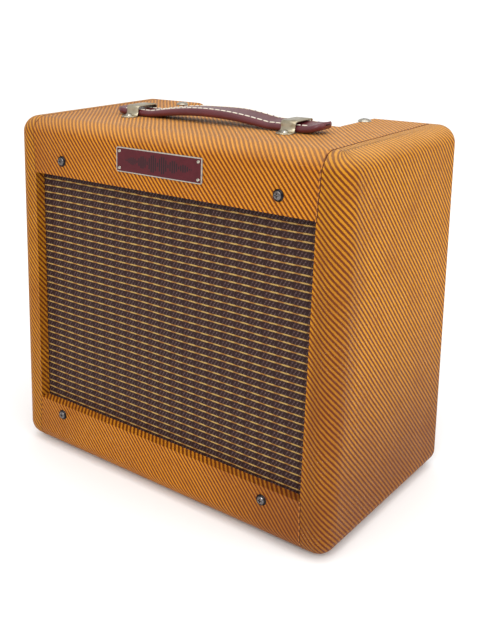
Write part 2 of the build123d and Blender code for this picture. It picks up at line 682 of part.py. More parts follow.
def jack(x):
    """Quarter-inch jack: threaded bushing on a bent frame with a spring contact."""
    under = CH_TOP - CH_T
    y = CONTROL_Y
    shape = rod(x, y, under - 3, CH_TOP + 4, 4.7)
    shape += block(x - 7, x + 7, y - 8, y + 8, under - 3, under)
    shape += block(x - 7, x + 7, y + 6.5, y + 8, under - 26, under - 3)
    shape += block(x - 3, x + 3, y - 8, y - 7, under - 30, under - 3)
    shape += block(x - 3, x + 3, y - 7.2, y - 4.4, under - 24, under - 23)
    return shape - rod(x, y, under - 5, CH_TOP + 6, 3.25)


def pointer_knob():
    """Pointer knob: tapered barrel under a long beak."""
    low = CH_TOP + 4.2
    high = CH_TOP + 17.0
    barrel = Pos(0, 0, low) * extrude(Circle(11.5), high - low - 4.0, taper=6)
    plan = make_face(Polyline((-11, -4), (-7, -5.5), (4, -5.0), (17.5, -1.2), (17.5, 1.2),
                              (4, 5.0), (-7, 5.5), (-11, 4), close=True))
    beak = Pos(0, 0, low + 1.5) * extrude(plan, high - low - 1.5)
    return barrel + beak - rod(0, 0, low - 1, CH_TOP + 15.5, 3.17)


# ---------------------------------------------------------------- speaker


def speaker_screw_spots():
    """Eight fixing screws round the rim."""
    angles = [math.radians(22.5 + 45 * i) for i in range(8)]
    return [(SPK_SCREW_R * math.cos(angle), SPK_SCREW_R * math.sin(angle)) for angle in angles]


def build_speaker():
    """Eight-inch speaker on the back of the baffle; depths run from the front face."""
    place = FRONT * Pos(0, SPK_Y, 0)
    rear = -FRAME_T - CLOTH_T - BAFFLE_T
    rim = rear - 1.8
    gasket = turned([(90.5, rear), (101.0, rear), (101.0, rim), (90.5, rim)])
    frame = turned(
        [(89.8, rim - 0.5), (FLANGE_R, rim - 0.5), (FLANGE_R, rim - 1.7), (91.4, rim - 1.7),
         (88.2, rim - 9.2), (46.2, rim - 39.2), (46.2, rim - 44.1), (20.0, rim - 44.1),
         (20.0, rim - 42.9), (45.0, rim - 42.9), (45.0, rim - 38.6), (87.0, rim - 8.6)]
    )
    for i in range(6):
        window = make_face(Polyline((54, -15), (83, -25), (83, 25), (54, 15), close=True))
        frame -= Rot(0, 0, 30 + 60 * i) * Pos(0, 0, rim - 41) * extrude(window, 34)
    surround = turned(
        [(100.5, rim), (100.5, rim - 0.5), (89.4, rim - 0.5), (83.6, rim - 4.8), (83.6, rim - 4.2),
         (89.8, rim)]
    )
    screws = []
    for x, y in speaker_screw_spots():
        hole = rod(x, y, rim - 5, rear + 1, 1.9)
        gasket -= hole
        frame -= hole
        surround -= hole
        screw = rod(x, y, rim - 4.9, rear + 6, 1.9)
        screws.append(place * screw)
        screws.append(place * hexagon(x, y, rim - 4.7, rim - 1.7, 7.0, 1.9))
    save("speaker_gasket", place * gasket)
    save("speaker_frame", place * frame)
    save("speaker_screws", *screws)
    plate = rim - 44.1
    magnet = turned(
        [(0, plate + 0.8), (12.0, plate + 0.8), (12.0, plate - 31), (22.0, plate - 31),
         (22.0, plate - 5), (13.8, plate - 5), (13.8, plate), (34.0, plate), (34.0, plate - 5),
         (29.0, plate - 5), (29.0, plate - 31), (26.0, plate - 35), (0, plate - 35)]
    )
    save("speaker_magnet", place * magnet)
    neck = rim - 33.0
    mouth = rim - 5.0
    cone = turned(
        [(COIL_OUT, neck), (46.0, neck + 15.5), (CONE_R, mouth), (CONE_R, mouth + 0.8),
         (45.6, neck + 16.3), (COIL_OUT, neck + 0.9)]
    )
    save("speaker_cone", place * cone)
    coil = turned([(COIL_IN, neck + 0.9), (COIL_OUT, neck + 0.9), (COIL_OUT, plate - 6),
                   (COIL_IN, plate - 6)])
    save("voice_coil", place * coil)
    cap_base = neck + 4.7
    cap = turned(
        [(20.0, cap_base), (15.5, cap_base + 4.2), (9.0, cap_base + 6.8), (0, cap_base + 7.6),
         (0, cap_base + 7.0), (8.8, cap_base + 6.2), (15.1, cap_base + 3.7), (19.2, cap_base)]
    )
    save("dust_cap", place * cap)
    spider = turned([(13.4, rim - 38.4), (44.6, rim - 38.4), (44.6, rim - 38.9), (13.4, rim - 38.9)])
    save("cone_suspension", place * surround, place * spider)
    build_terminals(place, plate)


def build_terminals(place, plate):
    """Tag board on the frame and the two-wire lead from the chassis."""
    tags = block(-9, 9, 36.5, 44.5, plate - 2, plate)
    for x in (-4.5, 4.5):
        tags += block(x - 1.5, x + 1.5, 40, 40.8, plate - 8, plate - 2)
    save("speaker_terminals", place * tags)
    grommet = Vector(LEAD_HOLE[0], LEAD_HOLE[1], CH_BOTTOM)
    wires = []
    for dx, side in ((-1.4, -1), (1.4, 1)):
        end = (place * Pos(side * 4.5, 42.3, plate - 6.5)).position
        path = FilletPolyline(
            (grommet.X + dx, grommet.Y, grommet.Z + 4),
            (grommet.X + dx, grommet.Y, grommet.Z - 26),
            (end.X + dx, end.Y + 26, end.Z + 22),
            (end.X, end.Y + 6, end.Z + 3),
            (end.X, end.Y, end.Z),
            radius=[10, 9, 4],
        )
        start = Plane(origin=path @ 0, z_dir=path % 0)
        wires.append(sweep(start * Circle(1.1), path))
    save("speaker_lead", *wires)


def main():
    """Build every node."""
    os.makedirs("parts", exist_ok=True)
    build_cabinet()
    build_glides()
    build_front()
    build_back()
    build_handle()
    build_valves()
    save("chassis_fasteners", *build_chassis(), *build_board(), *build_transformers())
    build_panel_parts()
    build_speaker()


main()
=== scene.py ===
"""Looks of the small tweed guitar amplifier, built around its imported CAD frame."""

import math
import random

import bmesh
import bpy
from mathutils import Matrix, Vector
from mathutils.bvhtree import BVHTree


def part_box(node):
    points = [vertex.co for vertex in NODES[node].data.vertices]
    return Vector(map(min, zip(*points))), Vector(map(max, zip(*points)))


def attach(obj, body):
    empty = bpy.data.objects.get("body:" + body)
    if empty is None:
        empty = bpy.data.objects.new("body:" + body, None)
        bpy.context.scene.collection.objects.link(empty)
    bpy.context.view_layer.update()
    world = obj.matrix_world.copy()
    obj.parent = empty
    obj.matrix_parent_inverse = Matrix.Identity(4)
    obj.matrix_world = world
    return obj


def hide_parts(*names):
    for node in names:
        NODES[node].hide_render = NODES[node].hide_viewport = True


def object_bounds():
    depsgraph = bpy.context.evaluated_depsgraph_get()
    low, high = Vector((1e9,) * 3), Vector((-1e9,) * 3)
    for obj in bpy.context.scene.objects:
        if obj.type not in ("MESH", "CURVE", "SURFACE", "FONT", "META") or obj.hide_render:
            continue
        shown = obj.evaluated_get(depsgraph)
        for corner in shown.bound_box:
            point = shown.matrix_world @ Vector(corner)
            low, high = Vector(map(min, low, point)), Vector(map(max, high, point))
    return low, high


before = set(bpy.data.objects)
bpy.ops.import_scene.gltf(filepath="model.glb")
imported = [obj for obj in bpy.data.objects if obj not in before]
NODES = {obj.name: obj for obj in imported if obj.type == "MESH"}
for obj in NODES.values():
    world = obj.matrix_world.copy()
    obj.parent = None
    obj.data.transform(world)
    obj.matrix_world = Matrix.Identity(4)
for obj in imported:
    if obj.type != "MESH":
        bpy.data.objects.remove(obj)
CAD_LO, CAD_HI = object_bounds()
MM = 0.001
TILT = math.radians(2.36)


# ---------------------------------------------------------------- shader helpers


class Shader:
    """A node material under construction."""

    def __init__(self, name):
        self.material = bpy.data.materials.new(name)
        self.material.use_nodes = True
        self.tree = self.material.node_tree
        self.tree.nodes.clear()
        self.out = self.tree.nodes.new("ShaderNodeOutputMaterial")
        self.bsdf = self.tree.nodes.new("ShaderNodeBsdfPrincipled")
        self.tree.links.new(self.bsdf.outputs[0], self.out.inputs[0])

    def put(self, socket, value):
        """Links an output to a socket, or sets a plain value on it."""
        if isinstance(value, bpy.types.NodeSocket):
            self.tree.links.new(value, socket)
        elif value is not None:
            socket.default_value = value

    def math(self, operation, a, b=None, c=None, clamp=False):
        node = self.tree.nodes.new("ShaderNodeMath")
        node.operation = operation
        node.use_clamp = clamp
        for socket, value in zip(node.inputs, (a, b, c)):
            self.put(socket, value)
        return node.outputs[0]

    def step(self, value, low, high):
        """Smooth step of a value between two levels."""
        node = self.tree.nodes.new("ShaderNodeMapRange")
        node.interpolation_type = "SMOOTHSTEP"
        self.put(node.inputs[0], value)
        node.inputs[1].default_value = low
        node.inputs[2].default_value = high
        return node.outputs[0]

    def mix(self, factor, a, b, blend="MIX"):
        node = self.tree.nodes.new("ShaderNodeMix")
        node.data_type = "RGBA"
        node.blend_type = blend
        self.put(node.inputs[0], factor)
        for index, value in ((6, a), (7, b)):
            self.put(node.inputs[index], rgb(value) if isinstance(value, tuple) else value)
        return node.outputs[2]

    def coords(self, kind="Object"):
        return self.tree.nodes.new("ShaderNodeTexCoord").outputs[kind]

    def cloth_uv(self):
        """The cloth's own coordinates in millimetres."""
        node = self.tree.nodes.new("ShaderNodeUVMap")
        node.uv_map = "cloth"
        split = self.tree.nodes.new("ShaderNodeSeparateXYZ")
        self.tree.links.new(node.outputs[0], split.inputs[0])
        return node.outputs[0], split.outputs[0], split.outputs[1]

    def split(self, vector):
        node = self.tree.nodes.new("ShaderNodeSeparateXYZ")
        self.put(node.inputs[0], vector)
        return node.outputs

    def stretch(self, vector, scale):
        node = self.tree.nodes.new("ShaderNodeMapping")
        self.put(node.inputs[0], vector)
        node.inputs[3].default_value = scale
        return node.outputs[0]

    def noise(self, vector, scale, detail=3.0, rough=0.55, distortion=0.0):
        node = self.tree.nodes.new("ShaderNodeTexNoise")
        self.put(node.inputs["Vector"], vector)
        node.inputs["Scale"].default_value = scale
        node.inputs["Detail"].default_value = detail
        node.inputs["Roughness"].default_value = rough
        node.inputs["Distortion"].default_value = distortion
        return node.outputs[0]

    def cells(self, vector, scale, feature="F1"):
        node = self.tree.nodes.new("ShaderNodeTexVoronoi")
        node.feature = feature
        self.put(node.inputs["Vector"], vector)
        node.inputs["Scale"].default_value = scale
        return node.outputs[0]

    def bump(self, height, distance, strength=1.0, normal=None):
        node = self.tree.nodes.new("ShaderNodeBump")
        node.inputs["Strength"].default_value = strength
        node.inputs["Distance"].default_value = distance
        self.put(node.inputs["Height"], height)
        if normal is not None:
            self.put(node.inputs["Normal"], normal)
        return node.outputs[0]

    def let_light_through(self):
        """Makes the surface cast no shadow."""
        clear = self.tree.nodes.new("ShaderNodeBsdfTransparent")
        path = self.tree.nodes.new("ShaderNodeLightPath")
        blend = self.tree.nodes.new("ShaderNodeMixShader")
        self.tree.links.new(path.outputs["Is Shadow Ray"], blend.inputs[0])
        self.tree.links.new(self.bsdf.outputs[0], blend.inputs[1])
        self.tree.links.new(clear.outputs[0], blend.inputs[2])
        self.tree.links.new(blend.outputs[0], self.out.inputs[0])

    def finish(self, color=None, rough=None, metal=0.0, normal=None, coat=0.0, coat_rough=0.1,
               transmission=0.0, ior=None, sheen=0.0, shine=0.5):
        slots = self.bsdf.inputs
        slots["Specular IOR Level"].default_value = shine
        self.put(slots["Base Color"], rgb(color) if isinstance(color, tuple) else color)
        self.put(slots["Roughness"], rough)
        slots["Metallic"].default_value = metal
        slots["Coat Weight"].default_value = coat
        slots["Coat Roughness"].default_value = coat_rough
        slots["Transmission Weight"].default_value = transmission
        slots["Sheen Weight"].default_value = sheen
        if ior is not None:
            slots["IOR"].default_value = ior
        if normal is not None:
            self.put(slots["Normal"], normal)
        return self.material


def linear(channel):
    """One 8-bit display channel as linear light."""
    level = channel / 255
    return level / 12.92 if level <= 0.04045 else ((level + 0.055) / 1.055) ** 2.4


def rgb(color):
    """Display colour, 0 to 255, as a linear RGBA value."""
    return (linear(color[0]), linear(color[1]), linear(color[2]), 1.0)


# ---------------------------------------------------------------- materials


TWEED_BEAD = 0.85


def tweed_material(name, fx, fy, dull, bright):
    """Lacquered diagonal twill: golden ribs of small beads between brown grooves."""
    s = Shader(name)
    vec, u, v = s.cloth_uv()
    sway = s.math("MULTIPLY", s.math("SUBTRACT", s.noise(vec, 0.011, 1.0), 0.5), 0.9)
    wobble = s.math("MULTIPLY", s.math("SUBTRACT", s.noise(vec, 0.35, 2.0), 0.5), 0.2)
    phase = s.math("ADD", s.math("MULTIPLY", u, fx), s.math("MULTIPLY", v, fy))
    phase = s.math("ADD", phase, s.math("ADD", sway, wobble))
    pitch = math.hypot(fx, fy)
    along = s.math("SUBTRACT", s.math("MULTIPLY", u, fy / pitch), s.math("MULTIPLY", v, fx / pitch))
    wave = s.math("SINE", s.math("MULTIPLY", phase, 2 * math.pi))
    rib = s.step(wave, -0.6, 0.3)
    crown = s.step(wave, 0.1, 1.0)
    slant = s.math("ADD", s.math("MULTIPLY", along, 1 / TWEED_BEAD), s.math("MULTIPLY", phase, 0.9))
    slant = s.math("ADD", slant, s.math("MULTIPLY", s.noise(vec, 0.6, 1.0), 0.6))
    bead = s.step(s.math("SINE", s.math("MULTIPLY", slant, 2 * math.pi)), -0.9, 0.4)
    thread = s.noise(vec, 2.6, 2.0)
    deep = s.mix(thread, (88, 38, 8), (124, 62, 16))
    gold = s.mix(s.noise(vec, 0.012, 2.0), dull, bright)
    gold = s.mix(bead, s.mix(0.5, gold, (134, 68, 10)), gold)
    gold = s.mix(s.math("MULTIPLY", crown, 0.45), gold, (222, 154, 44))
    color = s.mix(rib, deep, gold)
    stain = s.step(s.noise(vec, 0.03, 4.0), 0.42, 0.78)
    color = s.mix(s.math("MULTIPLY", stain, 0.3), color, (132, 66, 14))
    # Painted light: a paler tone on the surfaces that face up.
    color = s.mix(painted_top_light(s), color, (248, 196, 132))
    # Painted shade: darker, redder colour toward the foot, the left edge and the front right corner.
    color = s.mix(painted_shade(s), color, (92, 40, 26))
    # Painted glints: small white highlights painted into the colour at scattered spots.
    glint = s.step(s.cells(vec, 0.9), 0.15, 0.07)
    glint = s.math("MULTIPLY", glint, s.step(s.noise(vec, 0.02, 2.0), 0.45, 0.62))
    color = s.mix(s.math("MULTIPLY", glint, 0.55), color, (255, 232, 200))
    height = s.math("ADD", s.math("MULTIPLY", rib, 0.7), s.math("MULTIPLY", bead, 0.3))
    height = s.math("ADD", height, s.math("MULTIPLY", s.noise(vec, 1.8, 2.0), 0.35))
    rough = s.math("ADD", 0.42, s.math("MULTIPLY", s.noise(vec, 0.2, 3.0), 0.2))
    return s.finish(color, rough, normal=s.bump(height, 0.0005, 0.9), shine=0.12)


def painted_shade(s):
    """Painted shade: darker, redder colour toward the foot, the left edge and the front right
    corner.
    """
    x, y, z = s.split(s.coords())
    foot = s.math("MULTIPLY", s.step(z, 0.20, 0.02), 0.62)
    foot = s.math("MULTIPLY", foot, s.step(x, 0.02, 0.165))
    left = s.math("MULTIPLY", s.step(x, -0.06, -0.150), 0.22)
    corner = s.math("MULTIPLY", s.step(x, 0.143, 0.153), s.step(y, -0.050, -0.090))
    corner = s.math("MULTIPLY", corner, s.step(z, 0.42, 0.12))
    dark = s.math("MAXIMUM", s.math("MAXIMUM", foot, left), s.math("MULTIPLY", corner, 0.55))
    cloud = s.math("ADD", 0.8, s.math("MULTIPLY", s.noise(s.coords(), 14.0, 3.0), 0.4))
    return s.math("MULTIPLY", dark, cloud, clamp=True)


def painted_top_light(s):
    """Share of painted light, a paler tone, on the surfaces that face up."""
    z = s.split(s.coords())[2]
    light_patch = s.math("ADD", 0.7, s.math("MULTIPLY", s.noise(s.coords(), 30.0, 3.0), 0.5))
    return s.math("MULTIPLY", s.math("MULTIPLY", s.step(z, 0.304, 0.3175), 0.25), light_patch)


GRILLE_ROW = 6.19
GRILLE_DASH = 13.15
GRILLE_SLUB = 3.28


def grille_material():
    """Dark woven cloth with thin gold stripes that swell and thin along their length."""
    s = Shader("grille_weave")
    vec, u, v = s.cloth_uv()
    drift = s.math("MULTIPLY", s.math("SUBTRACT", s.noise(vec, 0.012, 1.0), 0.5), 1.6)
    ripple = s.math("MULTIPLY", s.math("SUBTRACT", s.noise(vec, 0.25, 2.0), 0.5), 0.5)
    row = s.math("DIVIDE", s.math("ADD", v, s.math("ADD", drift, ripple)), GRILLE_ROW)
    local = s.math("SUBTRACT", s.math("FRACT", row), 0.5)
    cycle = s.math("DIVIDE", s.math("ADD", u, drift), GRILLE_DASH)
    dash = s.step(s.math("SINE", s.math("MULTIPLY", cycle, 2 * math.pi)), -0.75, 0.35)
    half = s.math("ADD", 0.092, s.math("MULTIPLY", dash, 0.014))
    offset = s.math("ABSOLUTE", local)
    stripe = s.step(s.math("SUBTRACT", offset, half), 0.035, -0.045)
    twist = s.math("SINE", s.math("MULTIPLY", s.math("ADD", u, s.math("MULTIPLY", v, 1.6)), 4.6))
    gold = s.mix(dash, (158, 112, 56), (188, 154, 90))
    gold = s.mix(s.step(twist, -1.0, 0.7), s.mix(0.3, gold, (90, 50, 28)), gold)
    slant = s.math("ADD", s.math("MULTIPLY", u, 1 / GRILLE_SLUB), s.math("MULTIPLY", local, -0.9))
    blob = s.step(s.math("SINE", s.math("MULTIPLY", slant, 2 * math.pi)), -0.4, 0.95)
    middle = s.math("SUBTRACT", s.math("FRACT", cycle), 0.5)
    column = s.step(s.math("ABSOLUTE", middle), 0.03, 0.16)
    speck = s.step(s.noise(vec, 1.1, 2.0), 0.4, 0.65)
    weft = s.step(s.math("SINE", s.math("MULTIPLY", row, 6 * math.pi)), -0.5, 0.6)
    knot = s.math("ADD", s.math("MULTIPLY", weft, 0.6), 0.4)
    light = s.math("MULTIPLY", s.math("MULTIPLY", blob, column), knot)
    light = s.math("MULTIPLY", light, s.step(offset, 0.12, 0.2))
    light = s.math("MULTIPLY", light, s.math("ADD", 0.35, s.math("MULTIPLY", speck, 0.65)))
    dark = s.mix(s.noise(vec, 2.2, 2.0), (30, 14, 14), (54, 30, 28))
    dark = s.mix(light, dark, (102, 82, 80))
    color = s.mix(stripe, dark, gold)
    height = s.math("ADD", s.math("MULTIPLY", stripe, 0.8), s.math("MULTIPLY", blob, 0.5))
    height = s.math("ADD", height, s.math("MULTIPLY", twist, 0.08))
    return s.finish(color, 0.75, normal=s.bump(height, 0.0006, 0.9), shine=0.2)


def leather_material():
    """Burgundy strap leather with a fine grain and a soft shine."""
    s = Shader("burgundy_leather")
    vec = s.coords()
    patch = s.noise(vec, 60.0, 3.0)
    color = s.mix(patch, (76, 20, 30), (112, 36, 46))
    grain = s.cells(vec, 1500.0)
    fine = s.noise(vec, 3000.0, 2.0)
    color = s.mix(s.math("MULTIPLY", s.step(grain, 0.1, 0.5), 0.25), color, (48, 12, 18))
    height = s.math("ADD", grain, s.math("MULTIPLY", fine, 0.4))
    rough = s.math("ADD", 0.34, s.math("MULTIPLY", s.noise(vec, 220.0, 3.0), 0.22))
    return s.finish(color, rough, normal=s.bump(height, 0.00012, 0.6), coat=0.3, coat_rough=0.25)


def metal_material(name, color, dark, rough, brushed=(1.0, 1.0, 1.0), scale=900.0, wear=0.35,
                   relief=0.00003):
    """Metal with fine brushed streaks and tarnish clouds."""
    s = Shader(name)
    vec = s.coords()
    streak = s.noise(s.stretch(vec, brushed), scale, 3.0)
    cloud = s.noise(vec, 130.0, 4.0)
    tone = s.mix(s.math("MULTIPLY", s.step(cloud, 0.45, 0.75), wear), color, dark)
    tone = s.mix(s.math("MULTIPLY", streak, 0.18), tone, dark)
    level = s.math("ADD", rough, s.math("MULTIPLY", streak, 0.16))
    level = s.math("ADD", level, s.math("MULTIPLY", s.step(cloud, 0.5, 0.8), 0.18))
    return s.finish(tone, level, metal=1.0, normal=s.bump(streak, relief, 0.5))


def wood_material(name, light, dark, along, rough=0.62):
    """Planed board with long grain lines and pores."""
    s = Shader(name)
    vec = s.coords()
    ring = s.noise(s.stretch(vec, along), 55.0, 4.0, 0.6, 1.2)
    pore = s.noise(s.stretch(vec, along), 700.0, 3.0)
    patch = s.noise(vec, 18.0, 2.0)
    color = s.mix(s.step(ring, 0.35, 0.7), light, dark)
    color = s.mix(s.math("MULTIPLY", s.step(pore, 0.55, 0.75), 0.45), color, dark)
    color = s.mix(s.math("MULTIPLY", patch, 0.25), color, (150, 104, 58))
    height = s.math("ADD", ring, s.math("MULTIPLY", pore, 0.5))
    return s.finish(color, rough, normal=s.bump(height, 0.0002, 0.5))


def mottled_material(name, light, dark, rough, scale=400.0, depth=0.0001, coat=0.0):
    """Moulded, painted or pressed surface with mottling and a fine texture."""
    s = Shader(name)
    vec = s.coords()
    cloud = s.noise(vec, scale * 0.25, 4.0)
    fine = s.noise(vec, scale * 4.0, 3.0)
    color = s.mix(cloud, light, dark)
    color = s.mix(s.math("MULTIPLY", fine, 0.3), color, dark)
    level = s.math("ADD", rough, s.math("MULTIPLY", fine, 0.14))
    return s.finish(color, level, normal=s.bump(fine, depth, 0.5), coat=coat, coat_rough=0.15)


def banded_material(name, body, bands, axis_node, pitch):
    """Small moulded components with printed colour bands along their height."""
    s = Shader(name)
    vec = s.coords()
    low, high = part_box(axis_node)
    height = s.split(vec)[2]
    centre = (low[2] + high[2]) / 2
    color = s.mix(s.noise(vec, 900.0, 2.0), body, tuple(int(c * 0.8) for c in body))
    for index, band in enumerate(bands):
        place = centre + (index - len(bands) / 2 + 0.25) * pitch
        gap = s.math("ABSOLUTE", s.math("SUBTRACT", height, place))
        color = s.mix(s.step(gap, pitch * 0.28, pitch * 0.2), color, band)
    return s.finish(color, 0.42, normal=s.bump(s.noise(vec, 2500.0, 2.0), 0.00004, 0.4))


def glass_material(name, tint, grime):
    """Clear glass with a faint silvery and dusty film."""
    s = Shader(name)
    vec = s.coords()
    film = s.noise(vec, 60.0, 2.0)
    color = s.mix(s.math("MULTIPLY", film, grime), tint, (205, 205, 205))
    level = s.math("MULTIPLY", s.step(film, 0.5, 0.9), 0.05)
    s.let_light_through()
    return s.finish(color, level, transmission=1.0, ior=1.08)


def jewel_material():
    """Deep red faceted jewel."""
    s = Shader("red_jewel")
    vec = s.coords()
    depth = s.noise(vec, 500.0, 2.0)
    color = s.mix(depth, (150, 4, 6), (220, 24, 20))
    return s.finish(color, 0.08, transmission=0.6, ior=1.52, coat=1.0, coat_rough=0.03,
                    normal=s.bump(depth, 0.00002, 0.3))


BAR_PITCH = 0.0022


def nameplate_material():
    """Maroon enamel field with a drawn pattern of level bars and a bright rim."""
    s = Shader("nameplate_enamel")
    vec = s.coords()
    x, _, z = s.split(vec)
    low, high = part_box("nameplate")
    centre_z = (low[2] + high[2]) / 2
    half_w = (high[0] - low[0]) / 2
    half_h = (high[2] - low[2]) / 2
    dz = s.math("ABSOLUTE", s.math("SUBTRACT", z, centre_z))
    dx = s.math("ABSOLUTE", x)
    inside = s.math("MINIMUM", s.math("SUBTRACT", half_w, dx), s.math("SUBTRACT", half_h, dz))
    field = s.step(inside, 0.0006, 0.0010)
    place = s.math("DIVIDE", s.math("ADD", dx, BAR_PITCH / 2), BAR_PITCH)
    cell = s.math("FRACT", place)
    bar_x = s.step(s.math("ABSOLUTE", s.math("SUBTRACT", cell, 0.5)), 0.30, 0.22)
    column = s.math("FLOOR", place)
    swell = s.math("ABSOLUTE", s.math("SINE", s.math("MULTIPLY", column, 0.62)))
    fall = s.math("SUBTRACT", 1.0, s.math("DIVIDE", dx, half_w))
    tall = s.math("MULTIPLY", s.math("ADD", 0.18, s.math("MULTIPLY", swell, 0.62)), fall)
    tall = s.math("MULTIPLY", tall, half_h)
    bar = s.math("MULTIPLY", bar_x, s.step(s.math("SUBTRACT", tall, dz), -0.0001, 0.0003))
    bar = s.math("MULTIPLY", bar, s.step(dx, 0.036, 0.034))
    enamel = s.mix(s.noise(vec, 240.0, 3.0), (66, 12, 20), (88, 22, 32))
    enamel = s.mix(bar, enamel, (26, 22, 26))
    metal = s.mix(s.noise(vec, 700.0, 3.0), (196, 192, 184), (128, 122, 112))
    color = s.mix(field, metal, enamel)
    normal = s.bump(s.math("SUBTRACT", 1.0, s.math("MULTIPLY", field, 0.6)), 0.0003, 0.7)
    return s.finish(color, 0.38, metal=0.3, normal=normal, shine=0.3)


def thread_material():
    """Waxed ivory stitching thread."""
    s = Shader("ivory_thread")
    vec = s.coords()
    twist = s.noise(s.stretch(vec, (1.0, 3.0, 1.0)), 2600.0, 2.0)
    color = s.mix(twist, (250, 244, 230), (206, 192, 170))
    return s.finish(color, 0.6, normal=s.bump(twist, 0.0001, 0.8), sheen=0.2)


def floor_material():
    """Plain pale studio floor."""
    s = Shader("studio_floor")
    shade = s.noise(s.coords(), 0.8, 2.0)
    return s.finish(s.mix(shade, (250, 250, 250), (246, 246, 246)), 0.9)


# ---------------------------------------------------------------- mesh helpers


def new_object(name, verts, faces, material, smooth=True):
    mesh = bpy.data.meshes.new(name)
    mesh.from_pydata([tuple(v) for v in verts], [], faces)
    mesh.update()
    for poly in mesh.polygons:
        poly.use_smooth = smooth
    mesh.materials.append(material)
    obj = bpy.data.objects.new(name, mesh)
    bpy.context.scene.collection.objects.link(obj)
    return obj


def grid_faces(rows, columns, wrap=False):
    """Quads over a grid of rows x columns points, closed round the columns if wrap."""
    faces = []
    last = columns if wrap else columns - 1
    for r in range(rows - 1):
        for c in range(last):
            n = (c + 1) % columns
            faces.append((r * columns + c, r * columns + n, (r + 1) * columns + n,
                          (r + 1) * columns + c))
    return faces


def wood_tree():
    """Search tree of every board that the tweed is glued on."""
    boards = ["cabinet_top", "cabinet_bottom", "cabinet_left_side", "cabinet_right_side",
              "front_top_rail", "front_bottom_rail", "front_stiles", "upper_back_panel",
              "lower_back_panel"]
    verts = []
    faces = []
    for board in boards:
        mesh = NODES[board].data
        base = len(verts)
        verts.extend(v.co.copy() for v in mesh.vertices)
        faces.extend([[base + i for i in p.vertices] for p in mesh.polygons])
    return BVHTree.FromPolygons(verts, faces)


def cloth_skin(name, node, tree, place_uv, material):
    """Single-layer cloth from the outside of a CAD skin, with its own flat coordinates."""
    mesh = NODES[node].data.copy()
    mesh.materials.clear()
    bm = bmesh.new()
    bm.from_mesh(mesh)
    gone = []
    for face in bm.faces:
        gap = tree.find_nearest(face.calc_center_median())[3]
        if gap < 0.0003:
            gone.append(face)
    bmesh.ops.delete(bm, geom=gone, context="FACES")
    bmesh.ops.remove_doubles(bm, verts=bm.verts, dist=0.00001)
    layer = bm.loops.layers.uv.new("cloth")
    for face in bm.faces:
        normal = face.normal
        centre = face.calc_center_median()
        for loop in face.loops:
            loop[layer].uv = place_uv(loop.vert.co, normal, centre)
    bm.to_mesh(mesh)
    bm.free()
    mesh.materials.append(material)
    obj = bpy.data.objects.new(name, mesh)
    bpy.context.scene.collection.objects.link(obj)
    return obj


# ---------------------------------------------------------------- tweed

LOW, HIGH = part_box("tweed_cover_center")
SIDE_X = CAD_HI[0]
FACE_LOW_Z = LOW[2]
TOP_Z = HIGH[2]
EDGE_R = 0.015
BACK_R = 0.009
FRONT_Y0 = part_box("tweed_cover_left")[0][1]
QUARTER = math.pi / 2
BACK_TILT = math.radians(2.18)
BACK_Y = CAD_HI[1] + BACK_R * math.tan(BACK_TILT)


def front_y(z):
    """Where the leaning front face is at height z."""
    return FRONT_Y0 - 0.0006 + (z - FACE_LOW_Z) * math.tan(TILT)


def middle_uv(point, normal, centre):
    """Flat place of a point of the middle cloth, unrolled from the front over the top."""
    x, y, z = point
    up = centre[2] > (TOP_Z + FACE_LOW_Z) / 2
    edge_z = TOP_Z if up else FACE_LOW_Z
    side = 1.0 if up else -1.0
    start_y = front_y(edge_z)
    arc_z = edge_z - side * EDGE_R
    if normal[2] * side < -0.9 and abs(z - edge_z) > 0.02:
        v = z - side * (y - front_y(z))
    elif (z - arc_z) * side <= 0.0001 and y < start_y + 0.03:
        v = z
    elif y < start_y + EDGE_R + 0.0005:
        angle = math.atan2((z - arc_z) * side, (start_y + EDGE_R) - y)
        v = arc_z + side * angle * EDGE_R
    else:
        v = arc_z + side * (QUARTER * EDGE_R + (y - start_y - EDGE_R) + abs(edge_z - z))
    if abs(normal[0]) > 0.9 and y > start_y + 0.05:
        return ((x + (TOP_Z - z)) / MM, v / MM)
    return (x / MM, v / MM)


def side_uv(point, normal, centre):
    """Flat place of a point of a side cloth, unrolled from the side over its edges."""
    x, y, z = point
    sign = 1.0 if centre[0] > 0 else -1.0
    out = abs(x)
    u = y
    v = z
    front = front_y(z)
    back = BACK_Y - (z - FACE_LOW_Z) * math.tan(BACK_TILT)
    arc_x = SIDE_X - EDGE_R
    if y < front + EDGE_R:
        reach = EDGE_R - (y - front)
        over = max(out - arc_x, 0.0)
        u = front + EDGE_R - math.atan2(reach, over) * EDGE_R - max(arc_x - out, 0.0)
        if abs(normal[0]) > 0.9 and out < arc_x:
            u = front + EDGE_R - QUARTER * EDGE_R - (arc_x - out) - (y - front)
    elif y > back - BACK_R:
        reach = y - (back - BACK_R)
        over = max(out - SIDE_X + BACK_R, 0.0)
        u = back - BACK_R + math.atan2(reach, over) * BACK_R + max(SIDE_X - BACK_R - out, 0.0)
    for edge, direction in ((TOP_Z, 1.0), (FACE_LOW_Z, -1.0)):
        arc_z = edge - direction * EDGE_R
        if (z - arc_z) * direction > 0 and y > front + EDGE_R and normal[1] < 0.6:
            over = max(out - arc_x, 0.0)
            angle = math.atan2((z - arc_z) * direction, over)
            v = arc_z + direction * (angle * EDGE_R + max(arc_x - out, 0.0))
    return (sign * u / MM, v / MM)


def panel_uv(point, normal, centre):
    """Flat place of a point of the cloth on the back panels."""
    return (point[0] / MM, (point[2] - point[1]) / MM)


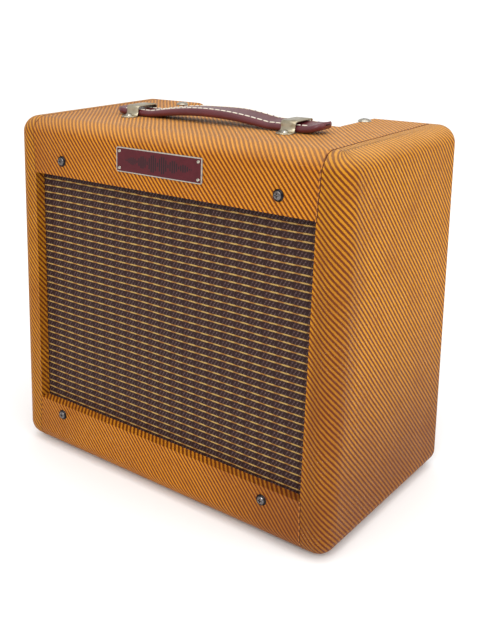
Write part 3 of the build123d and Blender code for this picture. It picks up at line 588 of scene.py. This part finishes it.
def dress_cabinet():
    """Tweed on the cabinet and the back panels."""
    tree = wood_tree()
    middle_weave = tweed_material("tweed_middle_weave", 0.229, 0.198, (194, 112, 18),
                                  (212, 134, 30))
    middle = cloth_skin("tweed_middle", "tweed_cover_center", tree, middle_uv, middle_weave)
    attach(middle, "cabinet")
    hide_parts("tweed_cover_center")
    side_weave = tweed_material("tweed_side_weave", 0.214, 0.200, (204, 131, 8), (220, 151, 16))
    for side in ("left", "right"):
        cover = cloth_skin("tweed_" + side, "tweed_cover_" + side, tree, side_uv, side_weave)
        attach(cover, "cabinet")
        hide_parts("tweed_cover_" + side)
    back_weave = tweed_material("tweed_back_weave", 0.22, 0.196, (194, 116, 20), (212, 138, 32))
    back = cloth_skin("tweed_back", "back_panel_tweed", tree, panel_uv, back_weave)
    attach(back, "cabinet")
    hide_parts("back_panel_tweed")


# ---------------------------------------------------------------- grille


def dress_grille():
    """Stretched grille cloth, a flat sheet that leans with the front."""
    low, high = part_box("grille_cloth")
    columns, rows = 120, 108
    slope = math.tan(TILT)
    y_low = low[1] + 0.0001
    verts = []
    uvs = []
    for r in range(rows):
        z = low[2] + (high[2] - low[2]) * r / (rows - 1)
        for c in range(columns):
            x = low[0] + (high[0] - low[0]) * c / (columns - 1)
            y = y_low + (z - low[2]) * slope + 0.0002
            verts.append((x, y, z))
            uvs.append((x / MM, (z - high[2]) / MM + 0.7))
    obj = new_object("grille_fabric", verts, grid_faces(rows, columns), grille_material())
    layer = obj.data.uv_layers.new(name="cloth")
    for loop in obj.data.loops:
        layer.data[loop.index].uv = uvs[loop.vertex_index]
    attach(obj, "cabinet")
    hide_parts("grille_cloth")


# ---------------------------------------------------------------- handle

STRAP_FLAT = 0.062
STRAP_CURL = 0.018
STRAP_ARCH = 0.0052
STRAP_THICK = 0.0055
STRAP_PAD = 0.0012
STRAP_SWELL = 0.001
STRAP_END_R = 0.008
STRAP_TWIST = 0.0024
CURL_LEFT = 0.0015
CURL_RIGHT = 0.0042
STITCH_INSET = 0.0034
STITCH_PITCH = 0.0060
STITCH_R = 0.0008
CLIP_HALF_X = 0.0075
CLIP_HALF_T = 0.6


def strap_section(half_w, low, high, edge, steps=6):
    """Rounded outline of the strap in its own cross-section."""
    points = []
    corners = ((half_w, high, 0), (-half_w, high, 1), (-half_w, low, 2), (half_w, low, 3))
    for y, z, quarter in corners:
        cy = y - math.copysign(edge, y)
        cz = z - edge if z == high else z + edge
        for i in range(steps + 1):
            angle = QUARTER * (quarter + i / steps)
            points.append((cy + edge * math.cos(angle), cz + edge * math.sin(angle)))
    return points


def strap_arch(x):
    """Share of the full arch at x: one in the middle, none where the strap lies flat."""
    return math.cos(math.pi * x / (2 * STRAP_FLAT)) if abs(x) < STRAP_FLAT else 0.0


def strap_lean(x):
    """How much the back edge of the strap is raised at x: the right half is a little twisted."""
    share = min(max((x + 0.004) / 0.044, 0.0), 1.0)
    fall = min(max((0.108 - x) / 0.014, 0.0), 1.0)
    return STRAP_TWIST * share**2 * (3 - 2 * share) * fall


def strap_profile(x, low, high):
    """Underside and top of the strap at x: an arch between flat ends that turn up."""
    left = max(low[0] + STRAP_CURL - x, 0.0) / STRAP_CURL
    right = max(x - high[0] + STRAP_CURL, 0.0) / STRAP_CURL
    arch = strap_arch(x)
    bottom = low[2] + STRAP_ARCH * arch + CURL_LEFT * left**2 + CURL_RIGHT * right**2
    return bottom, bottom + STRAP_THICK + STRAP_PAD * arch


def dress_handle():
    """Leather strap, a little wider in the middle, with two rows of stitches."""
    low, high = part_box("handle_strap")
    centre_y = (low[1] + high[1]) / 2
    half = (high[1] - low[1]) / 2
    tips = [0.0, 0.00008, 0.00025, 0.0005, 0.0009, 0.0014, 0.002, 0.0027, 0.0035, 0.0045, 0.006]
    length = high[0] - low[0]
    straight = length - 2 * STRAP_END_R
    middle_rows = [STRAP_END_R + straight * i / 170 for i in range(171)]
    places = tips + middle_rows + [length - t for t in reversed(tips)]
    rows = len(places)
    verts = []
    count = 0
    for r in range(rows):
        x = low[0] + places[r]
        bottom, top = strap_profile(x, low, high)
        near_end = min(x - low[0], high[0] - x)
        width = half + STRAP_SWELL * strap_arch(x) ** 2
        if near_end < STRAP_END_R:
            rise = max(STRAP_END_R**2 - (STRAP_END_R - near_end) ** 2, 0.0)
            width = half - STRAP_END_R + math.sqrt(rise)
        pinch = min((near_end + 0.00002) / 0.0015, 1.0)
        middle = (bottom + top) / 2
        thick = (top - bottom) / 2 * math.sqrt(max(1 - (1 - pinch) ** 2, 0.0))
        ring = strap_section(width, -thick, thick, min(0.0027, thick * 0.95))
        count = len(ring)
        for y, z in ring:
            groove = 0.0003 * math.exp(-(((abs(y) - width + STITCH_INSET) / STITCH_R) ** 2))
            z += strap_lean(x) * (y / width + 1) / 2 - (groove if z > 0 else 0)
            verts.append((x, centre_y + y, middle + z))
    faces = grid_faces(rows, count, wrap=True)
    faces.append(tuple(range(count)))
    faces.append(tuple(reversed(range((rows - 1) * count, rows * count))))
    strap = new_object("handle_leather", verts, faces, leather_material())
    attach(strap, "handle_strap")
    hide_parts("handle_strap")
    stitch_rows(low, high, centre_y, half)


def capsule(a, b, radius, sides=7, rings=3):
    """Vertices and faces of a short thread between two points."""
    axis = (b - a).normalized()
    across = axis.cross(Vector((0, 0, 1))).normalized()
    up = across.cross(axis)
    verts = []
    stations = []
    for i in range(rings + 1):
        angle = QUARTER * i / rings
        stations.append((a - axis * radius * math.cos(angle), radius * math.sin(angle)))
    for i in range(rings, -1, -1):
        angle = QUARTER * i / rings
        stations.append((b + axis * radius * math.cos(angle), radius * math.sin(angle)))
    for centre, size in stations:
        for k in range(sides):
            angle = 2 * math.pi * k / sides
            verts.append(centre + (across * math.cos(angle) + up * math.sin(angle) * 0.6) * size)
    return verts, grid_faces(len(stations), sides, wrap=True)


def stitch_rows(low, high, centre_y, half):
    """Two rows of long stitches sunk into the top of the strap."""
    rng = random.Random(7)
    verts = []
    faces = []
    for side in (-1, 1):
        x = low[0] + 0.010
        while x + STITCH_PITCH < high[0] - 0.012:
            ends = []
            for px in (x + 0.0011, x + STITCH_PITCH - 0.0017):
                top = strap_profile(px, low, high)[1]
                inset = half + STRAP_SWELL * strap_arch(px) ** 2 - STITCH_INSET
                y = centre_y + side * inset + rng.uniform(-0.0001, 0.0001)
                top += strap_lean(px) * (side * inset / half + 1) / 2
                ends.append(Vector((px, y, top + 0.00005)))
            v, f = capsule(ends[0], ends[1], STITCH_R)
            base = len(verts)
            verts.extend(v)
            faces.extend([tuple(base + i for i in face) for face in f])
            x += STITCH_PITCH + rng.uniform(-0.00015, 0.00015)
    obj = new_object("handle_stitches", verts, faces, thread_material())
    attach(obj, "handle_strap")


def clip_stations():
    """Middle line of a clip from one foot to the other, across the strap."""
    rising = [(-24.5, 0.6), (-24.1, 0.6), (-23.3, 0.6), (-22.0, 0.6), (-20.5, 0.6), (-18.5, 0.6),
              (-16.6, 0.6), (-15.5, 0.66), (-14.7, 0.9), (-14.0, 1.4), (-13.4, 2.2), (-13.0, 3.1),
              (-12.7, 4.1), (-12.5, 5.4),
              (-12.42, 6.8), (-12.3, 7.8), (-11.95, 8.5), (-11.3, 8.95), (-10.4, 9.1), (-8.0, 9.16),
              (-4.0, 9.25), (0.0, 9.3)]
    return rising + [(-y, z) for y, z in reversed(rising[:-1])]


def dress_clips():
    """Stamped clips that sweep from rounded feet up and over the strap."""
    low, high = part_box("handle_clips")
    centre_y = (low[1] + high[1]) / 2
    verts = []
    faces = []
    line = clip_stations()
    for centre_x in (low[0] + CLIP_HALF_X, high[0] - CLIP_HALF_X):
        base = len(verts)
        for i, (y, z) in enumerate(line):
            before = line[max(i - 1, 0)]
            after = line[min(i + 1, len(line) - 1)]
            run = Vector((after[0] - before[0], after[1] - before[1])).normalized()
            over = max(abs(y) - 17.0, 0.0)
            waist = 0.9 * math.exp(-(((abs(y) - 12.8) / 1.6) ** 2))
            half = (math.sqrt(max((CLIP_HALF_X / MM) ** 2 - over**2, 0.01)) - waist) * MM
            for sx, sn in clip_ring(half):
                offset = sn * CLIP_HALF_T * MM
                verts.append((centre_x + sx, centre_y + y * MM - run[1] * offset,
                              low[2] + z * MM + run[0] * offset))
        count = len(clip_ring(CLIP_HALF_X))
        rings = grid_faces(len(line), count, wrap=True)
        rings.append(tuple(range(count)))
        rings.append(tuple(reversed(range((len(line) - 1) * count, len(line) * count))))
        faces.extend([tuple(base + i for i in face) for face in rings])
    weathered = metal_material("clip_nickel", (190, 180, 156), (112, 98, 72), 0.24,
                               (1.0, 0.15, 0.15), 500.0, 0.55)
    clips = new_object("handle_clip_loops", verts, faces, weathered)
    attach(clips, "cabinet")
    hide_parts("handle_clips")


def clip_ring(half):
    """Section of the clip strip: across its width and share of half its thickness."""
    soft = min(0.0004, half * 0.4)
    return [(half, -0.4), (half, 0.4), (half - soft, 1.0), (-half + soft, 1.0), (-half, 0.4),
            (-half, -0.4), (-half + soft, -1.0), (half - soft, -1.0)]


# ---------------------------------------------------------------- seams and dial

OPEN_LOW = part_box("front_bottom_rail")[1][2] + 0.001
OPEN_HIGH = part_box("front_top_rail")[0][2] - 0.001
SEAM_X = 0.147
SEAM_SPREAD = 0.003
SEAM_RUN = 0.010


def seam_x(z):
    """How far out the side seam is at height z on the front."""
    reach = OPEN_HIGH if z > (OPEN_HIGH + OPEN_LOW) / 2 else OPEN_LOW
    limit = TOP_Z + SEAM_RUN if reach == OPEN_HIGH else -SEAM_RUN
    share = (z - reach) / (limit - reach)
    return SEAM_X + SEAM_SPREAD * max(share, 0.0)


def seam_path(top):
    """Points and outward normals of one side seam over the front, edge and top or bottom."""
    edge_z = TOP_Z if top else FACE_LOW_Z
    sign = 1.0 if top else -1.0
    start_z = OPEN_HIGH if top else OPEN_LOW
    arc_z = edge_z - sign * EDGE_R
    path = []
    for i in range(13):
        z = start_z + (arc_z - start_z) * i / 12
        path.append((front_y(z), z, Vector((0, -1, 0))))
    arc_y = front_y(arc_z) + EDGE_R
    for i in range(1, 11):
        angle = QUARTER * i / 10
        normal = Vector((0, -math.cos(angle), sign * math.sin(angle)))
        path.append((arc_y + normal[1] * EDGE_R, arc_z + normal[2] * EDGE_R, normal))
    end_y = HIGH[1] - BACK_R - (edge_z - FACE_LOW_Z) * math.tan(TILT)
    for i in range(1, 19):
        y = arc_y + (end_y - arc_y) * i / 18
        path.append((y, edge_z, Vector((0, 0, sign))))
    return path


def ribbon(path, side, shift, half, height):
    """Low rounded ribbon laid along a seam path on one side of the cabinet."""
    verts = []
    profile = [(-1.0, -0.4), (-0.7, 0.55), (0.0, 1.0), (0.7, 0.55), (1.0, -0.4)]
    for i, (y, z, normal) in enumerate(path):
        wave = 0.00018 * math.sin(i * 0.9) + 0.00012 * math.sin(i * 2.3 + 1)
        x = side * (seam_x(z) + shift + wave)
        for across, up in profile:
            place = Vector((x + across * half, y, z)) + normal * up * height
            verts.append(place)
    return verts, grid_faces(len(path), len(profile))


def dress_seams():
    """Turned edge of the middle cloth and a dark strip of painted shadow for the gap beside it,
    along each side seam.
    """
    groups = {"seam_gap_shadows": (gap_shadow_material, 0.0003, 0.0004, 0.00018),
              "seam_folds": (fold_material, -0.0005, 0.0005, 0.00025)}
    for name, (look, shift, half, height) in groups.items():
        verts = []
        faces = []
        for side in (-1, 1):
            width = half if side > 0 else half * 0.5
            for top in (False, True):
                v, f = ribbon(seam_path(top), side, shift, width, height)
                base = len(verts)
                verts.extend(v)
                faces.extend([tuple(base + i for i in face) for face in f])
        obj = new_object(name, verts, faces, look())
        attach(obj, "cabinet")


def gap_shadow_material():
    """Painted shadow of the gap between two pieces of cloth, as a dark strip."""
    s = Shader("seam_gap_shadow")
    shade = s.noise(s.coords(), 900.0, 3.0)
    color = s.mix(shade, (46, 20, 10), (84, 42, 20))
    return s.finish(color, 0.8, normal=s.bump(shade, 0.0001, 0.5), shine=0.1)


def fold_material():
    """Folded edge of the tweed, with the ribs crossing it."""
    s = Shader("seam_fold")
    vec = s.coords()
    _, y, z = s.split(vec)
    slant = s.math("MULTIPLY", s.math("SUBTRACT", z, y), 190.0 * 2 * math.pi)
    rib = s.step(s.math("SINE", slant), -0.6, 0.4)
    gold = s.mix(s.noise(vec, 800.0, 2.0), (196, 128, 52), (168, 98, 36))
    color = s.mix(rib, (108, 56, 24), gold)
    return s.finish(color, 0.5, normal=s.bump(rib, 0.0003, 0.8), shine=0.25)


DIAL_MARKS = 12
DIAL_TURN = math.radians(300)


def dress_dial():
    """Ring of engraved and filled marks round the volume knob."""
    low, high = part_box("volume_shaft")
    centre = Vector(((low[0] + high[0]) / 2, (low[1] + high[1]) / 2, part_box("chassis")[1][2]))
    verts = []
    faces = []
    for i in range(DIAL_MARKS):
        angle = -DIAL_TURN * i / (DIAL_MARKS - 1)
        out = Vector((math.cos(angle), math.sin(angle), 0))
        across = Vector((-out[1], out[0], 0)) * (0.00045 if i % (DIAL_MARKS - 1) else 0.0007)
        base = len(verts)
        for radius, height in ((0.0150, 0.00002), (0.0152, 0.00012), (0.0183, 0.00012),
                               (0.0185, 0.00002)):
            verts.append(centre + out * radius + across + Vector((0, 0, height)))
            verts.append(centre + out * radius - across + Vector((0, 0, height)))
        for k in range(3):
            n = base + 2 * k
            faces.append((n, n + 2, n + 3, n + 1))
    marks = mottled_material("dial_ink", (24, 24, 24), (40, 38, 36), 0.5)
    ticks = new_object("volume_dial_marks", verts, faces, marks, smooth=False)
    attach(ticks, "cabinet")


# ---------------------------------------------------------------- carried-over parts


def paint(names, material):
    for name in names:
        mesh = NODES[name].data
        mesh.materials.clear()
        mesh.materials.append(material)


def dress_parts():
    """Materials of every piece that keeps its CAD shape."""
    nickel = metal_material("aged_nickel", (186, 180, 166), (110, 100, 84), 0.2)
    chrome = metal_material("chassis_chrome", (206, 206, 208), (170, 170, 172), 0.3,
                            (0.08, 1.0, 1.0), 900.0, 0.12, 0.000001)
    zinc = metal_material("zinc_plate", (176, 176, 172), (116, 112, 104), 0.32)
    black = metal_material("black_oxide", (48, 45, 47), (14, 13, 13), 0.1, wear=0.6)
    worn_black = metal_material("worn_black_plate", (118, 112, 110), (40, 36, 36), 0.16, wear=0.5)
    pine_x = wood_material("pine_crosswise", (214, 176, 122), (172, 122, 70), (0.06, 1.0, 1.0))
    pine_z = wood_material("pine_upright", (214, 176, 122), (172, 122, 70), (1.0, 1.0, 0.06))
    ply = wood_material("birch_ply", (204, 164, 112), (160, 116, 70), (0.08, 1.0, 1.0))
    paint(["cabinet_top", "cabinet_bottom"], pine_x)
    paint(["cabinet_left_side", "cabinet_right_side", "back_cleats"], pine_z)
    paint(["front_top_rail", "front_bottom_rail", "front_stiles", "baffle_board",
           "upper_back_panel", "lower_back_panel"], ply)
    paint(["handle_screws", "chassis_screws", "back_panel_screws", "nameplate_pins", "glides",
           "input_jack_1", "input_jack_2", "panel_nuts", "pilot_lamp_holder"], nickel)
    paint(["baffle_screws"], worn_black)
    paint(["baffle_cup_washers"], black)
    paint(["chassis"], chrome)
    paint(["chassis_fasteners", "speaker_screws", "volume_control"], zinc)
    paint(["volume_shaft"], metal_material("shaft_brass", (196, 160, 92), (130, 96, 48), 0.22))
    paint(["nameplate"], nameplate_material())
    paint(["cord_grommets"], mottled_material("grommet_rubber", (40, 40, 40), (22, 22, 22), 0.7))
    paint(["circuit_board"], mottled_material("fibre_board", (46, 36, 30), (26, 20, 18), 0.55))
    paint(["capacitors"], banded_material("capacitor_wrap", (196, 146, 62),
                                          [(60, 50, 44), (196, 146, 62), (150, 40, 30)],
                                          "capacitors", 0.006))
    paint(["resistors"], banded_material("resistor_body", (126, 84, 56),
                                         [(190, 40, 30), (230, 170, 40), (40, 40, 40)],
                                         "resistors", 0.0024))
    bakelite = mottled_material("brown_bakelite", (44, 26, 20), (22, 12, 10), 0.22, coat=0.3)
    paint(["valve_sockets", "valve_bases", "volume_knob", "fuse_holder", "fuse_cap"], bakelite)
    paint(["valve_glass", "pilot_bulb", "fuse"], glass_material("clear_glass", (240, 246, 246), 0.2))
    paint(["valve_electrodes"], metal_material("carbon_plate", (74, 74, 76), (52, 52, 54), 0.55,
                                                relief=0.000005))
    paint(["power_transformer", "output_transformer"],
          mottled_material("transformer_enamel", (40, 40, 44), (22, 22, 24), 0.38, coat=0.2))
    paint(["pilot_jewel"], jewel_material())
    hammer = mottled_material("hammer_paint", (112, 116, 120), (76, 80, 84), 0.34, 260.0, 0.0003)
    paint(["speaker_frame", "speaker_magnet"], hammer)
    paint(["speaker_gasket"], mottled_material("cork_gasket", (150, 110, 70), (96, 66, 40), 0.8))
    paper = mottled_material("cone_paper", (48, 44, 42), (28, 26, 26), 0.85, 500.0, 0.0003)
    paint(["speaker_cone", "dust_cap", "cone_suspension"], paper)
    paint(["voice_coil"], metal_material("coil_copper", (190, 120, 76), (120, 70, 44), 0.3,
                                         (1.0, 1.0, 20.0), 300.0))
    paint(["speaker_terminals"], mottled_material("tag_board", (120, 84, 50), (84, 56, 34), 0.6))
    paint(["speaker_lead"], mottled_material("cloth_wire", (52, 48, 44), (26, 24, 24), 0.75,
                                             1200.0, 0.0002))


# ---------------------------------------------------------------- stage


FLOOR = 60.0
SKY_LIGHT = 0.78
SOFT_WHITE = (1.0, 0.98, 0.95)


def build_stage():
    """Pale floor and soft lights."""
    corners = [(-FLOOR, -FLOOR, 0), (FLOOR, -FLOOR, 0), (FLOOR, FLOOR, 0), (-FLOOR, FLOOR, 0)]
    floor = new_object("studio_sweep", corners, [(0, 1, 2, 3)], floor_material())
    world = bpy.data.worlds.new("studio")
    world.use_nodes = True
    background = world.node_tree.nodes["Background"]
    background.inputs[0].default_value = (1.0, 1.0, 1.0, 1.0)
    background.inputs[1].default_value = SKY_LIGHT
    bpy.context.scene.world = world
    soft_light("key_softbox", (0.5, -1.5, 1.3), 0.5, 9.0, SOFT_WHITE)
    soft_light("side_softbox", (1.7, 0.1, 0.7), 0.7, 6.0, SOFT_WHITE)
    sky = bpy.data.lights.new("broad_sky", "SUN")
    sky.energy = 1.5
    sky.angle = math.radians(75)
    lamp = bpy.data.objects.new("broad_sky", sky)
    lamp.rotation_euler = Vector((-0.3, 0.32, -1.0)).to_track_quat("-Z", "Y").to_euler()
    bpy.context.scene.collection.objects.link(lamp)
    bpy.context.scene.view_settings.view_transform = "Standard"
    bpy.context.scene.view_settings.look = "None"


def soft_light(name, place, size, power, color):
    """Square area light aimed at the middle of the cabinet."""
    data = bpy.data.lights.new(name, "AREA")
    data.size = size
    data.energy = power
    data.color = color
    lamp = bpy.data.objects.new(name, data)
    lamp.location = place
    aim = (CAD_LO + CAD_HI) / 2 - Vector(place)
    lamp.rotation_euler = aim.to_track_quat("-Z", "Y").to_euler()
    bpy.context.scene.collection.objects.link(lamp)


def build_camera():
    """Camera a little above the cabinet, off its front right corner."""
    yaw, pitch, roll = 0.6914, 0.2970, -0.0085
    forward = Vector((-math.sin(yaw) * math.cos(pitch), math.cos(yaw) * math.cos(pitch),
                      -math.sin(pitch)))
    level = Vector((math.cos(yaw), math.sin(yaw), 0.0))
    lift = level.cross(forward)
    right = level * math.cos(roll) + lift * math.sin(roll)
    up = lift * math.cos(roll) - level * math.sin(roll)
    data = bpy.data.cameras.new("camera")
    data.lens = 49.04
    data.shift_x = 0.0844
    data.shift_y = -0.0938
    camera = bpy.data.objects.new("camera", data)
    camera.location = (0.45357, -0.60377, 0.42279)
    camera.rotation_mode = "QUATERNION"
    camera.rotation_quaternion = Matrix((right, up, -forward)).transposed().to_quaternion()
    bpy.context.scene.collection.objects.link(camera)
    bpy.context.scene.camera = camera


dress_parts()
dress_cabinet()
dress_grille()
dress_handle()
dress_clips()
dress_seams()
dress_dial()
build_stage()
build_camera()
